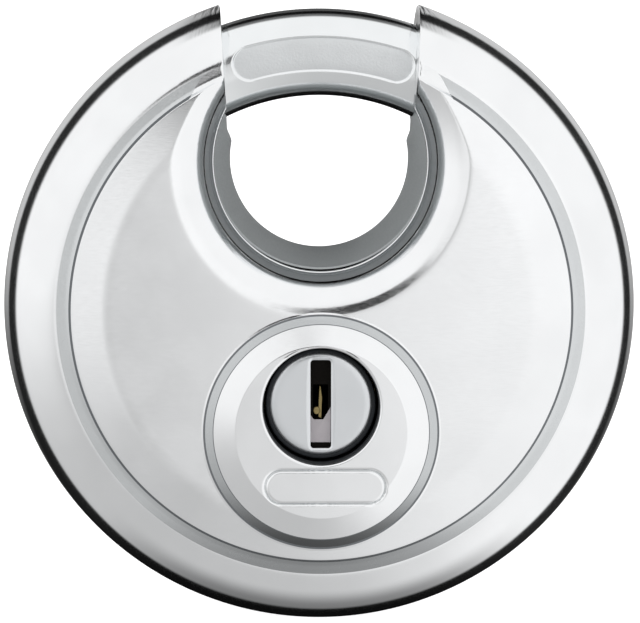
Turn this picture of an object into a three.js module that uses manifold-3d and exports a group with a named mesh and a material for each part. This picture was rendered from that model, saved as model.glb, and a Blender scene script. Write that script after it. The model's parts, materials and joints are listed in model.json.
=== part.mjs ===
// Disc padlock: two deep-drawn steel shells welded rim to rim, with a notch at the top
// that a curved shackle bridges. A key turns a plug, whose crank swings the shackle round
// the disc's axis and so out of one side of the notch.
//
// Millimetres. X is to the right and Z is up as the padlock hangs, and +Y is its back.
// The pieces are laid out round the disc's axis, which is the line X = Z = 0 of the lock group.
// That group hangs below the part's origin, the point where a staple bears on the shackle.

import * as THREE from "three";
import { mergeVertices } from "three/addons/utils/BufferGeometryUtils.js";
import Module from "manifold-3d";

// ---- Driving dimensions ----

const FIT = 0.3; // air between two pieces that touch or slide on each other
const DEGREE = Math.PI / 180;

// Shells: sizes are radii from the disc's axis and depths from the seam plane.
const DISC_R = 40;
const WALL = 1.5;
const FACE_DEPTH = 13.2; // the raised middle of each face
const RING_IN_R = 31.3; // the step round the raised middle
const RING_OUT_R = 32.7;
const BAND_DEPTH = 12.3; // the outer band at the foot of that step
const RIM_FLAT = 1; // half the straight part of the rim
const SEAM_GAP = 0.15; // from the seam plane to each shell's edge
const WELD_DEPTH = 1.1; // how far the weld reaches in from the rim

// Throat: the hole that a staple or chain passes through.
const THROAT_Z = 18.56;
const THROAT_R = 11.3; // at its waist
const LIP_R = 13.9; // where the shells turn in
const LIP_DEPTH = 8.3;
const FLARE_R = 19.5; // where the face starts to fall towards the throat
const LIP_TOP_Z = 24.9; // above this height the opening narrows to the notch
const LINER_DEPTH = 8;
const LINER_WAIST_TOP = 21.2; // above this height the notch cuts the liner's waist away
const NOTCH_HALF = 11.85;
const NOTCH_TOP = 50; // above everything

// Shackle: an arc round the disc's axis, its angles clockwise from the top.
const SHACKLE_R = 32; // centre line
const SHACKLE_HALF = 5.5; // half the bar's thickness
const TOE_ANGLE = -33;
const HEEL_ANGLE = 160;
const SHACKLE_TRAVEL = 60;

// Lock cylinder, on its own axis below the disc's.
const PLUG_Z = -11.8;
const PLUG_R = 6.5;
const PLUG_FRONT = -8.6;
const PLUG_BACK = 5.6;
const HOUSING_R = 9.2;
const HOUSING_FRONT = -8.5;
const HOUSING_BACK = 5.5;
const HOUSING_TOP = 1.6; // top of the pin chambers
const CHAMBER_HALF = 3.6; // half the width of the block that holds them
const CAP_R = 6.9;
const CAP_FRONT = -10.6;
const CAP_BACK = -8.9;
const HOLE_R = 7.3; // the hole in the front shell
const SLOT_HALF = 1.25;
const SLOT_HALF_HEIGHT = 5.7;
const KEYWAY_HALF = 0.95;
const KEYWAY_BOTTOM = -5.1; // heights from the plug's axis
const KEYWAY_TOP = 2.3;
const KEYWAY_END_WALL = 0.7;
const GUARD_R = HOUSING_R + 1.3; // drill guard
const GUARD_BACK = -10;
const COVER_THICKNESS = 0.6; // of the strip over the pin chambers
const COVER_ROOM = 1.5; // air above that strip
const TAIL_R = 2.8;
const TAIL_END = 9.3;
const CLIP_R = TAIL_R + 1.9;
const CLIP_THICKNESS = 0.8;

// Boss round the lock cylinder, and the label recess in it.
const BOSS_Z = -14.6;
const BOSS_FOOT_R = 14.2;
const BOSS_TOP_R = 13.1;
const BOSS_RISE = 0.8;
const LABEL_Z = -22.3;
const LABEL_HALF_LENGTH = 7.85;
const LABEL_HALF_HEIGHT = 2.3;
const LABEL_DEPTH = 0.3;

// Pin stacks: the length of each key pin sets the key's cuts.
const KEY_PIN_LENGTHS = [3.4, 4.6, 3.8, 5.0, 4.2];
const FIRST_PIN_Y = -6.7;
const PIN_PITCH = 2.6;
const PIN_R = 0.85;
const PIN_HOLE_R = 1.05;
const KEY_PIN_TOP = -5.5;
const DRIVER_BOTTOM = -5.15;
const DRIVER_TOP = -1.55;
const PIN_FLOOR = -12.1; // bottom of the pin holes in the plug
const SPRING_COIL_R = 0.62;
const SPRING_WIRE_R = 0.15;
const SPRING_TURNS = 4;

// Crank and drive arm. The crank is as long as the plug's axis lies below the disc's, so
// the arm always turns by half the plug's angle.
const CRANK_LENGTH = -PLUG_Z;
const CRANK_FRONT = 6.3;
const CRANK_BACK = 7.5;
const CRANK_HUB_R = 4.8;
const CRANK_PIN_R = 1.5;
const CRANK_END_R = 3.2; // round the pin
const SWING_ROOM = 0.6; // air past the crank's end
const CRANK_HUB_ROOM = 2.6; // and round its hub
const ARM_FRONT = 7.8;
const ARM_BACK = 9.3;
const ARM_INNER = 17.2;
const ARM_OUTER = 33.8;
const ARM_HALF = 3.9;
const ARM_FOOT_HALF = 5.2;
const ARM_FOOT_INNER = 27;
const ARM_SLOT_END = 2 * CRANK_LENGTH; // the pin's greatest distance from the disc's axis
const RIVET_X = 2.9;
const RIVET_Z = -30;
const RIVET_R = 1.6;
const RIVET_SEAT = 1.2; // depth where its hole in the shackle ends
const RIVET_HEAD_R = 2.4;
const RIVET_HEAD_HEIGHT = 0.6;

// Cores: plates in front of and behind the shackle, and a hub inside it.
const HUB_R = 25.7;
const HUB_HALF = 5.7;
const CORE_NEAR = 6;
const CORE_FAR = 11.4;
const CORE_EDGE = [[37, 6], [36, 7.5], [32, 9.8], [30, 11.4]]; // radius and depth, inside the rim
const DOWEL_X = 19.6;
const DOWEL_Z = -3;
const DOWEL_R = 1.5;

// Facets
const DISC_SIDES = 48;
const THROAT_SIDES = 32;
const ROUND_SIDES = 24;
const SMALL_SIDES = 12;
const PIN_SIDES = 8;

// ---- Solids ----

const manifold = await Module();
manifold.setup();

function solid(geometry) {
  const bare = geometry.index ? geometry.toNonIndexed() : geometry.clone();
  bare.deleteAttribute("normal");
  bare.deleteAttribute("uv");
  const merged = mergeVertices(bare, 1e-4);
  const mesh = new manifold.Mesh({
    numProp: 3,
    vertProperties: merged.attributes.position.array,
    triVerts: new Uint32Array(merged.index.array),
  });
  return new manifold.Manifold(mesh);
}

function geometryOf(body) {
  const mesh = body.getMesh();
  const geometry = new THREE.BufferGeometry();
  geometry.setAttribute("position", new THREE.BufferAttribute(mesh.vertProperties, 3));
  geometry.setIndex(new THREE.BufferAttribute(mesh.triVerts, 1));
  geometry.computeVertexNormals();
  return geometry;
}

const join = (first, ...others) => others.reduce((body, other) => body.add(other), first);
const cut = (first, ...others) => others.reduce((body, other) => body.subtract(other), first);

// A profile of [radius, y] corners turned about the Y axis, then moved to height z.
function turned(profile, sides, z = 0) {
  const corners = profile.map(([radius, y]) => new THREE.Vector2(radius, y));
  if (THREE.ShapeUtils.area(corners) < 0) corners.reverse();
  const onAxis = corners.some((corner) => corner.x === 0);
  if (onAxis) {
    // Start at the corner that follows the stretch along the axis.
    while (corners[0].x !== 0 || corners.at(-1).x !== 0) corners.push(corners.shift());
  } else {
    corners.push(corners[0].clone());
  }
  return solid(new THREE.LatheGeometry(corners, sides).translate(0, 0, z));
}

// A round bar along Y, its axis at x and z.
function rod(x, z, radius, front, back, sides = ROUND_SIDES) {
  const bar = new THREE.CylinderGeometry(radius, radius, back - front, sides);
  return solid(bar.translate(x, (front + back) / 2, z));
}

// A round bar along Z, its axis at x = 0 and y.
function pillar(y, radius, bottom, top, sides) {
  const bar = new THREE.CylinderGeometry(radius, radius, top - bottom, sides);
  return solid(bar.rotateX(Math.PI / 2).translate(0, y, (bottom + top) / 2));
}

// A box between two values of each coordinate.
function block([x0, x1], [y0, y1], [z0, z1]) {
  const box = new THREE.BoxGeometry(x1 - x0, y1 - y0, z1 - z0);
  return solid(box.translate((x0 + x1) / 2, (y0 + y1) / 2, (z0 + z1) / 2));
}

// An outline drawn in X and Z, given thickness from front to back along Y.
function slab(shape, front, back, curveSegments = SMALL_SIDES) {
  const options = { depth: back - front, bevelEnabled: false, curveSegments };
  const plate = new THREE.ExtrudeGeometry(shape, options);
  return solid(plate.rotateX(Math.PI / 2).translate(0, back, 0));
}

// ---- Materials ----

function material(color, roughness, metalness = 1) {
  return new THREE.MeshStandardMaterial({ color, roughness, metalness });
}

const polishedSteel = material(0xdfe2e4, 0.12);
const chromedSteel = material(0xd2d5d8, 0.16);
const mattSteel = material(0x8b9094, 0.5);
const castZinc = material(0x9a9c9e, 0.6);
const brass = material(0xc9a24c, 0.3);
const springSteel = material(0xb4b7ba, 0.35);

// ---- The group ----

const padlock = new THREE.Group();
const lock = new THREE.Group(); // its origin is on the disc's axis
lock.position.z = SHACKLE_HALF - SHACKLE_R;
padlock.add(lock);
const cylinder = new THREE.Group(); // its origin is on the plug's axis
cylinder.position.z = PLUG_Z;
lock.add(cylinder);

function addPiece(group, name, body, look) {
  const piece = new THREE.Mesh(geometryOf(body), look);
  piece.name = name;
  group.add(piece);
  return piece;
}

// ---- Shells ----

// The quarter ellipse from the outer band round to the rim, set in from it by inset.
function rimCurve(inset) {
  const steps = 5;
  const across = DISC_R - RING_OUT_R - inset;
  const deep = BAND_DEPTH - RIM_FLAT - inset;
  return Array.from({ length: steps + 1 }, (_, i) => {
    const angle = (i / steps) * 90 * DEGREE;
    return [RING_OUT_R + across * Math.sin(angle), RIM_FLAT + deep * Math.cos(angle)];
  });
}

// side is -1 for the front shell and 1 for the rear one; profiles hold [radius, depth].
const atSide = (profile, side) => profile.map(([radius, depth]) => [radius, side * depth]);

function shellOutside(side) {
  const profile = [
    [0, FACE_DEPTH],
    [RING_IN_R, FACE_DEPTH],
    ...rimCurve(0),
    [DISC_R - WELD_DEPTH, SEAM_GAP],
    [0, SEAM_GAP],
  ];
  return turned(atSide(profile, side), DISC_SIDES);
}

function shellInside(side) {
  const profile = [
    [0, FACE_DEPTH - WALL],
    [RING_IN_R - WALL / 2, FACE_DEPTH - WALL],
    ...rimCurve(WALL),
    [DISC_R - WALL, -1],
    [0, -1],
  ];
  return turned(atSide(profile, side), DISC_SIDES);
}

// What the flare takes off the face all round the throat.
function flareCutter(side) {
  const profile = [
    [0, LIP_DEPTH],
    [LIP_R, LIP_DEPTH],
    [LIP_R + 0.85, LIP_DEPTH + 0.5],
    [LIP_R + 2.2, LIP_DEPTH + 3.2],
    [FLARE_R - 1.5, FACE_DEPTH - 0.35],
    [FLARE_R, FACE_DEPTH],
    [FLARE_R, FACE_DEPTH + 2],
    [0, FACE_DEPTH + 2],
  ];
  return turned(atSide(profile, side), THROAT_SIDES, THROAT_Z);
}

// The metal kept behind the flare: a tube round the throat that widens towards the face.
function flareBacking(side, extra = 0) {
  const tube = LIP_R + WALL + extra;
  const profile = [
    [0, -2],
    [tube, -2],
    [tube, LIP_DEPTH],
    [tube + 1.2, LIP_DEPTH + 1.7],
    [FLARE_R + extra, FACE_DEPTH - WALL],
    [FLARE_R + extra, FACE_DEPTH - WALL / 2],
    [0, FACE_DEPTH - WALL / 2],
  ];
  return turned(atSide(profile, side), THROAT_SIDES, THROAT_Z);
}

function throatHole() {
  const hole = rod(0, THROAT_Z, LIP_R, -DISC_R, DISC_R, THROAT_SIDES);
  return hole.subtract(notchBlock(DISC_R, LIP_TOP_Z));
}

// Everything within half a width of the notch's middle, above a height.
function notchBlock(half, bottom) {
  return block([-half, half], [-DISC_R, DISC_R], [bottom, NOTCH_TOP]);
}

// The ring that the shackle sweeps, with room to slide.
function shackleRoom() {
  const radius = (SHACKLE_HALF + FIT) / Math.cos(Math.PI / SMALL_SIDES);
  const profile = Array.from({ length: SMALL_SIDES }, (_, i) => {
    const angle = ((2 * i + 1) * Math.PI) / SMALL_SIDES;
    return [SHACKLE_R + radius * Math.cos(angle), radius * Math.sin(angle)];
  });
  return turned(profile, DISC_SIDES);
}

function shell(side) {
  const backing = join(flareBacking(side), notchBlock(NOTCH_HALF + WALL, THROAT_Z));
  return cut(
    shellOutside(side),
    flareCutter(side),
    shellInside(side).subtract(backing),
    throatHole(),
    notchBlock(NOTCH_HALF, THROAT_Z),
    shackleRoom(),
  );
}

function boss() {
  const height = BOSS_RISE + WALL / 2;
  const cone = new THREE.CylinderGeometry(BOSS_FOOT_R, BOSS_TOP_R, height, DISC_SIDES);
  return solid(cone.translate(0, height / 2 - FACE_DEPTH - BOSS_RISE, BOSS_Z));
}

function labelRecess() {
  const end = LABEL_HALF_LENGTH - LABEL_HALF_HEIGHT;
  const outline = new THREE.Shape();
  outline.absarc(end, LABEL_Z, LABEL_HALF_HEIGHT, -Math.PI / 2, Math.PI / 2, false);
  outline.absarc(-end, LABEL_Z, LABEL_HALF_HEIGHT, Math.PI / 2, Math.PI * 1.5, false);
  const front = -FACE_DEPTH - BOSS_RISE;
  return slab(outline, front - 1, front + LABEL_DEPTH, SMALL_SIDES / 2);
}

function frontShell() {
  const raised = boss().subtract(flareCutter(-1));
  const hole = rod(0, PLUG_Z, HOLE_R, -DISC_R, -CORE_NEAR, THROAT_SIDES);
  return cut(join(shell(-1), raised), hole, labelRecess());
}

// The bead in the groove between the shells' edges, open at the notch.
function rimWeld() {
  const half = (RIM_FLAT * 2) / 3;
  const profile = [
    [DISC_R - WELD_DEPTH + FIT + SEAM_GAP / 2, 0],
    [DISC_R, half],
    [DISC_R, -half],
  ];
  return turned(profile, DISC_SIDES).subtract(notchBlock(NOTCH_HALF, 0));
}

function throatLiner() {
  const profile = [
    [LIP_R - FIT, -LINER_DEPTH],
    [LIP_R - 2 * FIT, -LINER_DEPTH],
    [(LIP_R + THROAT_R) / 2 - FIT, -LINER_DEPTH / 2],
    [THROAT_R, -FIT * 2],
    [THROAT_R, FIT * 2],
    [(LIP_R + THROAT_R) / 2 - FIT, LINER_DEPTH / 2],
    [LIP_R - 2 * FIT, LINER_DEPTH],
    [LIP_R - FIT, LINER_DEPTH],
  ];
  return cut(
    turned(profile, THROAT_SIDES, THROAT_Z),
    notchBlock(DISC_R, LIP_TOP_Z - FIT),
    notchBlock(NOTCH_HALF, LINER_WAIST_TOP),
    shackleRoom(),
  );
}

addPiece(lock, "front_shell", frontShell(), polishedSteel);
addPiece(lock, "rear_shell", shell(1), polishedSteel);
addPiece(lock, "rim_weld", rimWeld(), polishedSteel);
addPiece(lock, "throat_liner", throatLiner(), mattSteel);

// ---- Cores ----

const cylinderRoom = () => rod(0, PLUG_Z, HOUSING_R + FIT, -CORE_NEAR - 1, CORE_NEAR);

const chamberRoom = () =>
  block(
    [-CHAMBER_HALF - FIT, CHAMBER_HALF + FIT],
    [HOUSING_FRONT - FIT, CORE_NEAR],
    [PLUG_Z, HOUSING_TOP + FIT + COVER_THICKNESS + COVER_ROOM],
  );

function dowelHoles() {
  const hole = (x) => rod(x, DOWEL_Z, DOWEL_R + FIT, -DISC_R, DISC_R, SMALL_SIDES);
  return join(hole(-DOWEL_X), hole(DOWEL_X));
}

const throatAndNotch = (side) =>
  join(flareBacking(side, FIT + 0.2), notchBlock(NOTCH_HALF + WALL + FIT, THROAT_Z));

// A plate that fills one shell from the shackle out to the face.
function corePlate(side) {
  const profile = [
    [0, CORE_NEAR],
    ...CORE_EDGE,
    [0, CORE_FAR],
  ];
  return cut(turned(atSide(profile, side), DISC_SIDES / 2), throatAndNotch(side), dowelHoles());
}

function frontCore() {
  const mouth = rod(0, PLUG_Z, GUARD_R + FIT + 0.1, -DISC_R, 0);
  return cut(corePlate(-1), mouth, chamberRoom());
}

function hubCore() {
  const hub = rod(0, 0, HUB_R, -HUB_HALF, HUB_HALF, DISC_SIDES);
  return cut(hub, throatAndNotch(1), throatAndNotch(-1), cylinderRoom(), chamberRoom(), dowelHoles());
}

// The room that the crank and the drive arm swing in.
function swingRoom() {
  const crankReach = CRANK_LENGTH + CRANK_END_R + SWING_ROOM;
  const fan = new THREE.Shape();
  fan.moveTo(0, PLUG_Z);
  fan.absarc(0, PLUG_Z, crankReach, -185 * DEGREE, 5 * DEGREE, false);
  const sector = new THREE.Shape();
  sector.absarc(0, 0, DISC_R, -135 * DEGREE, -45 * DEGREE, false);
  sector.absarc(0, 0, ARM_INNER - 2, -45 * DEGREE, -135 * DEGREE, true);
  return join(
    slab(fan, 0, DISC_R),
    slab(sector, 0, DISC_R),
    rod(0, PLUG_Z, CRANK_HUB_R + CRANK_HUB_ROOM, 0, DISC_R),
  );
}

addPiece(lock, "front_core", frontCore(), castZinc);
addPiece(lock, "hub_core", hubCore(), castZinc);
addPiece(lock, "rear_core", corePlate(1).subtract(swingRoom()), castZinc);
for (const [name, x] of [["left_dowel", -DOWEL_X], ["right_dowel", DOWEL_X]]) {
  const length = CORE_FAR - 2 * FIT;
  addPiece(lock, name, rod(x, DOWEL_Z, DOWEL_R, -length, length, SMALL_SIDES), mattSteel);
}

// ---- Lock cylinder: this group's pieces are laid out round the plug's axis ----

const pinYs = KEY_PIN_LENGTHS.map((_, i) => FIRST_PIN_Y + i * PIN_PITCH);
const above = (z) => z - PLUG_Z; // a height given from the disc's axis, in this group

const pinHoles = (bottom) =>
  join(...pinYs.map((y) => pillar(y, PIN_HOLE_R, bottom, above(HOUSING_TOP + 1), PIN_SIDES)));

function housing() {
  const barrel = rod(0, 0, HOUSING_R, HOUSING_FRONT, HOUSING_BACK);
  const chambers = block(
    [-CHAMBER_HALF, CHAMBER_HALF],
    [HOUSING_FRONT, HOUSING_BACK],
    [0, above(HOUSING_TOP)],
  );
  const bore = rod(0, 0, PLUG_R + FIT, -DISC_R, DISC_R);
  return cut(join(barrel, chambers), bore, pinHoles(0));
}

function chamberCover() {
  return block(
    [-CHAMBER_HALF + FIT, CHAMBER_HALF - FIT],
    [HOUSING_FRONT + FIT, HOUSING_BACK - FIT],
    [above(HOUSING_TOP + FIT), above(HOUSING_TOP + FIT + COVER_THICKNESS)],
  );
}

function plug() {
  const body = rod(0, 0, PLUG_R, PLUG_FRONT, PLUG_BACK);
  const tail = rod(0, 0, TAIL_R, 0, TAIL_END, SMALL_SIDES);
  const keyway = block(
    [-KEYWAY_HALF, KEYWAY_HALF],
    [PLUG_FRONT - 1, PLUG_BACK - KEYWAY_END_WALL],
    [KEYWAY_BOTTOM, KEYWAY_TOP],
  );
  return cut(join(body, tail), keyway, pinHoles(above(PIN_FLOOR)));
}

function keywayCover() {
  const profile = [
    [0, CAP_FRONT],
    [CAP_R - 1.3, CAP_FRONT],
    [CAP_R - 0.3, CAP_FRONT + 0.4],
    [CAP_R, CAP_FRONT + 1],
    [CAP_R, CAP_BACK],
    [0, CAP_BACK],
  ];
  const slot = block(
    [-SLOT_HALF, SLOT_HALF],
    [CAP_FRONT - 1, CAP_BACK + 1],
    [-SLOT_HALF_HEIGHT, SLOT_HALF_HEIGHT],
  );
  return turned(profile, ROUND_SIDES).subtract(slot);
}

// A flat ring along Y.
function washer(inside, outside, front, back) {
  const corners = [[inside, front], [outside, front], [outside, back], [inside, back]];
  return turned(corners, ROUND_SIDES);
}

function keyPin(y, length) {
  const profile = [[0, 0], [PIN_R * 0.4, 0], [PIN_R, PIN_R], [PIN_R, length], [0, length]];
  const corners = profile.map(([radius, height]) => new THREE.Vector2(radius, height));
  const bar = new THREE.LatheGeometry(corners, PIN_SIDES).rotateX(Math.PI / 2);
  return solid(bar.translate(0, y, above(KEY_PIN_TOP) - length));
}

class Helix extends THREE.Curve {
  constructor(y, bottom, top) {
    super();
    Object.assign(this, { y, bottom, top });
  }

  getPoint(t, target = new THREE.Vector3()) {
    const angle = t * SPRING_TURNS * 2 * Math.PI;
    const z = THREE.MathUtils.lerp(this.bottom, this.top, t);
    return target.set(SPRING_COIL_R * Math.cos(angle), this.y + SPRING_COIL_R * Math.sin(angle), z);
  }
}

function pinSpring(y) {
  const wire = new THREE.Shape();
  for (const corner of [0, 1, 2, 3]) {
    const angle = corner * 90 * DEGREE;
    const place = [SPRING_WIRE_R * Math.cos(angle), SPRING_WIRE_R * Math.sin(angle)];
    if (corner === 0) wire.moveTo(...place);
    else wire.lineTo(...place);
  }
  const end = SPRING_WIRE_R + 0.1;
  const extrudePath = new Helix(y, above(DRIVER_TOP) + end, above(HOUSING_TOP + FIT) - end);
  return solid(new THREE.ExtrudeGeometry(wire, { steps: SPRING_TURNS * 6, extrudePath }));
}

addPiece(cylinder, "cylinder_housing", housing(), brass);
addPiece(cylinder, "chamber_cover", chamberCover(), brass);
addPiece(cylinder, "plug", plug(), brass);
addPiece(cylinder, "keyway_cover", keywayCover(), chromedSteel);
addPiece(cylinder, "drill_guard", washer(HOLE_R - 0.1, GUARD_R, -CORE_FAR, GUARD_BACK), mattSteel);
pinYs.forEach((y, i) => {
  const number = i + 1;
  const driver = pillar(y, PIN_R, above(DRIVER_BOTTOM), above(DRIVER_TOP), PIN_SIDES);
  addPiece(cylinder, `key_pin_${number}`, keyPin(y, KEY_PIN_LENGTHS[i]), brass);
  addPiece(cylinder, `driver_pin_${number}`, driver, springSteel);
  addPiece(cylinder, `pin_spring_${number}`, pinSpring(y), springSteel);
});

// ---- Crank: drawn pointing down from the plug's axis, then turned to its locked place ----

const crankTurn = -SHACKLE_TRAVEL * DEGREE;

function crank() {
  const lean = Math.asin((CRANK_HUB_R - CRANK_END_R) / CRANK_LENGTH); // of the sides that join the rounds
  const outline = new THREE.Shape();
  outline.absarc(0, 0, CRANK_HUB_R, -lean, Math.PI + lean, false);
  outline.absarc(0, -CRANK_LENGTH, CRANK_END_R, Math.PI + lean, 2 * Math.PI - lean, false);
  const holes = join(
    rod(0, 0, TAIL_R + FIT, 0, DISC_R, SMALL_SIDES),
    rod(0, -CRANK_LENGTH, CRANK_PIN_R + FIT, 0, DISC_R, SMALL_SIDES),
  );
  return slab(outline, CRANK_FRONT, CRANK_BACK).subtract(holes);
}

const crankPin = rod(0, -CRANK_LENGTH, CRANK_PIN_R, CRANK_FRONT, ARM_BACK - 0.2, SMALL_SIDES);
addPiece(cylinder, "crank", crank(), mattSteel).rotation.y = crankTurn;
addPiece(cylinder, "crank_pin", crankPin, springSteel).rotation.y = crankTurn;
const clip = washer(TAIL_R + FIT, CLIP_R, ARM_FRONT, ARM_FRONT + CLIP_THICKNESS);
addPiece(cylinder, "tail_clip", clip, springSteel);

// ---- Shackle and its drive arm: the arm is drawn pointing down, then turned ----

const armTurn = (-SHACKLE_TRAVEL / 2) * DEGREE;

class ShackleArc extends THREE.Curve {
  getPoint(t, target = new THREE.Vector3()) {
    const angle = THREE.MathUtils.lerp(TOE_ANGLE, HEEL_ANGLE, t) * DEGREE;
    return target.set(SHACKLE_R * Math.sin(angle), 0, SHACKLE_R * Math.cos(angle));
  }
}

function rivetHoles() {
  const hole = (x) => rod(x, RIVET_Z, RIVET_R + FIT, RIVET_SEAT, DISC_R, SMALL_SIDES);
  return join(hole(-RIVET_X), hole(RIVET_X));
}

// The bar's section is a round one, a little squared off.
function shackle() {
  const corners = 12;
  const squareness = 2.4;
  const section = new THREE.Shape();
  for (let i = 0; i < corners; i++) {
    const angle = (i / corners) * 2 * Math.PI;
    const [c, s] = [Math.cos(angle), Math.sin(angle)];
    const spread = Math.abs(c) ** squareness + Math.abs(s) ** squareness;
    const reach = SHACKLE_HALF / spread ** (1 / squareness);
    if (i === 0) section.moveTo(reach * c, reach * s);
    else section.lineTo(reach * c, reach * s);
  }
  const extrudePath = new ShackleArc();
  const bar = solid(new THREE.ExtrudeGeometry(section, { steps: 30, extrudePath }));
  const turnedHoles = geometryOf(rivetHoles()).rotateY(armTurn);
  return bar.subtract(solid(turnedHoles));
}

function driveArm() {
  const plate = block([-ARM_HALF, ARM_HALF], [ARM_FRONT, ARM_BACK], [-ARM_OUTER, -ARM_INNER]);
  const foot = block(
    [-ARM_FOOT_HALF, ARM_FOOT_HALF],
    [SHACKLE_HALF + FIT, ARM_BACK],
    [-ARM_OUTER, -ARM_FOOT_INNER],
  );
  const slotHalf = CRANK_PIN_R + FIT;
  const slot = block([-slotHalf, slotHalf], [0, DISC_R], [-ARM_SLOT_END, 0]);
  const slotEnd = rod(0, -ARM_SLOT_END, slotHalf, 0, DISC_R, SMALL_SIDES);
  return cut(join(plate, foot), slot, slotEnd, rivetHoles());
}

function rivet(x) {
  const headFront = ARM_BACK + FIT;
  const shank = rod(x, RIVET_Z, RIVET_R, RIVET_SEAT + FIT, headFront, SMALL_SIDES);
  const head = rod(x, RIVET_Z, RIVET_HEAD_R, headFront, headFront + RIVET_HEAD_HEIGHT, SMALL_SIDES);
  return join(shank, head);
}

addPiece(lock, "shackle", shackle(), chromedSteel);
addPiece(lock, "drive_arm", driveArm(), mattSteel).rotation.y = armTurn;
addPiece(lock, "arm_rivet_1", rivet(-RIVET_X), springSteel).rotation.y = armTurn;
addPiece(lock, "arm_rivet_2", rivet(RIVET_X), springSteel).rotation.y = armTurn;

export default padlock;
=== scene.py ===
"""Looks of the disc padlock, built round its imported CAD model.

Metres, in the CAD frame: X right, Z up, and -Y the padlock's front. Each piece is laid out
round the disc's axis, as x and z from that axis and a depth from the seam plane. place()
turns those into the frame's coordinates for the front or the rear half.
"""

import json
import math

import bmesh
import bpy
import numpy as np
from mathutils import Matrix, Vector


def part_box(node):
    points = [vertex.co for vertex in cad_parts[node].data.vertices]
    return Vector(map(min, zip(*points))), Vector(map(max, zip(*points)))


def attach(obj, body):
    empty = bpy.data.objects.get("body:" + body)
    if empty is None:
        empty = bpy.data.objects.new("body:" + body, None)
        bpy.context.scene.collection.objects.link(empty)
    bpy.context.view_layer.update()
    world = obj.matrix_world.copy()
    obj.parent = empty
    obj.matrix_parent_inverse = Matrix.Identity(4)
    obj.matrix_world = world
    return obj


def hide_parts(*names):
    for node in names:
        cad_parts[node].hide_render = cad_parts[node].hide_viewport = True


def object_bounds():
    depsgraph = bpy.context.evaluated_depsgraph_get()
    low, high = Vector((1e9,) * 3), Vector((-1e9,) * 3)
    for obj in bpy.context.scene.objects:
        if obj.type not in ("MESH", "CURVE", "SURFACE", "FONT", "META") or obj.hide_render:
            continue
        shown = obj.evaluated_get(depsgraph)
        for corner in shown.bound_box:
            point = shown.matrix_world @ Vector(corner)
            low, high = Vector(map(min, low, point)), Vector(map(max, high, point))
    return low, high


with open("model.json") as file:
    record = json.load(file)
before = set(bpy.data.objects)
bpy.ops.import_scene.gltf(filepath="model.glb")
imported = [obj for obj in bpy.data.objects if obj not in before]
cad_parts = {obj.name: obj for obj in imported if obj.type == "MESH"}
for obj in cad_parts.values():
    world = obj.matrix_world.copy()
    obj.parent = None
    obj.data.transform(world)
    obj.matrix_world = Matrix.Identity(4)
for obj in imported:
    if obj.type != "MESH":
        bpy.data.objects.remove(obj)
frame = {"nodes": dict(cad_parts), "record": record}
cad_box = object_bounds()

# ---- Sizes taken from the frame ----

shell_low, shell_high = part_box("front_shell")
liner_low, liner_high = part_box("throat_liner")
cap_low, cap_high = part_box("keyway_cover")
guard_low, guard_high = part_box("drill_guard")

DISC_R = shell_high.x
AXIS_Z = shell_low.z + DISC_R
FACE_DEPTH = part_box("rear_shell")[1].y
BOSS_RISE = -shell_low.y - FACE_DEPTH
THROAT_Z = liner_low.z + liner_high.x - AXIS_Z
LINER_OUT_R = liner_high.x
LINER_DEPTH = liner_high.y
PLUG_Z = (cap_low.z + cap_high.z) / 2 - AXIS_Z
CAP_FRONT = -cap_low.y
CAP_BACK = -cap_high.y
PLUG_FRONT = -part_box("plug")[0].y
GUARD_FRONT = -guard_low.y
WARD_GAP = 0.0003  # from the ward to the first pin behind it and the cap in front
WARD_BACK = -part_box("key_pin_1")[0].y + WARD_GAP
WARD_FRONT = CAP_BACK - WARD_GAP

# ---- Shells ----

WALL = 0.0015
SEAM = 0.00015
RIM_FLAT = 0.001
RING_IN_R = 0.0315
RING_OUT_R = 0.0330
BAND_DEPTH = 0.0123
RING_LINES = (RING_IN_R - 0.00032, RING_IN_R, RING_OUT_R)  # where its looks change
RING_FADES = 0.0187  # from the throat's axis
RIM_ACROSS = DISC_R - RING_OUT_R
RIM_DEEP = BAND_DEPTH - RIM_FLAT
SEAM_R = DISC_R - 0.0011
EDGE_ROUND = 0.00028
LIP_R = 0.0138
LIP_MATT_R = 0.01495  # how far out the lip's groove stays matt
THROAT_SQUEEZE = 1.035  # height of the throat and its flare over their width
SHOULDER_R = 0.0195
NOTCH_HALF = 0.01175
NOTCH_WIDENING = 0.062  # of each wall, per metre of height
NOTCH_FOOT_Z = 0.025
CORNER_ANGLE = math.radians(18.6)  # of the notch's corners at the rim
SHELL_RAYS = 440
SHELL_SHARP = 62  # degrees

# Corners along each ray of a shell, from the opening's edge outwards.
NEAR_OPENING_MM = [
    0, 0.04, 0.1, 0.18, 0.28, 0.36, 0.44, 0.52, 0.6, 0.68, 0.76, 0.85, 0.95, 1.05, 1.15,
    1.25, 1.35, 1.45, 1.55, 1.65, 1.8, 2.0, 2.2, 2.4, 2.6, 2.8, 3.1, 3.4, 3.6, 3.8, 4.0,
    4.15, 4.3, 4.45, 4.6, 4.75, 4.9, 5.05, 5.2, 5.4, 5.7, 6.2, 6.7,
]
FLAT_START = 0.0070  # from the opening's edge
FLAT_END_R = 0.0260
FALL_RADII = [
    0.0262, 0.0265, 0.0268, 0.0271, 0.0274, 0.0277, 0.0282, 0.0289, 0.0296, 0.0303, 0.0308,
]
RIM_DEGREES = [4, 9, 15, 21, 27, 33, 39, 45, 50, 54, 58, 62, 66, 70, 74, 78, 82, 86]

# ---- Boss, hole and cap ----

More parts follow.
